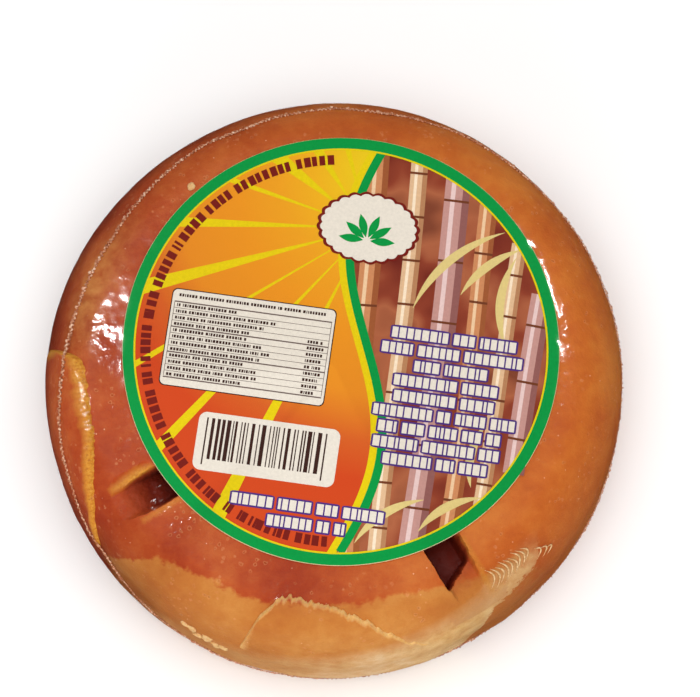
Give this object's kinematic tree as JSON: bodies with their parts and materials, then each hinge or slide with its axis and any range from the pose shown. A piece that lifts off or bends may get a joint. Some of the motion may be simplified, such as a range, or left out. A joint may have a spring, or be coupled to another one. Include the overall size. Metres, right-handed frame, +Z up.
{
  "type": "jaggery block",
  "caption": "Round cast jaggery loaf with a rounded shoulder, pressed grooves and broken crust, shrink-wrapped, with a round paper label on top.",
  "frame": {"origin": "middle of the base, on the surface the loaf stands on", "axes": "+Z up through the label, -Y towards the side with the two grooves and the broken crust"},
  "size_m": [0.1184, 0.1178, 0.0374],
  "materials": {
    "jaggery": "cast cane sugar, red-brown to tan, glossy through the film",
    "clear_film": "clear shrink film, glossy, with a fine trim seal round the shoulder",
    "label_paper": "coated paper, printed in flat colours, under the film"
  },
  "bodies": {
    "root": {"jaggery_block": "jaggery", "label": "label_paper"}
  },
  "joints": []
}
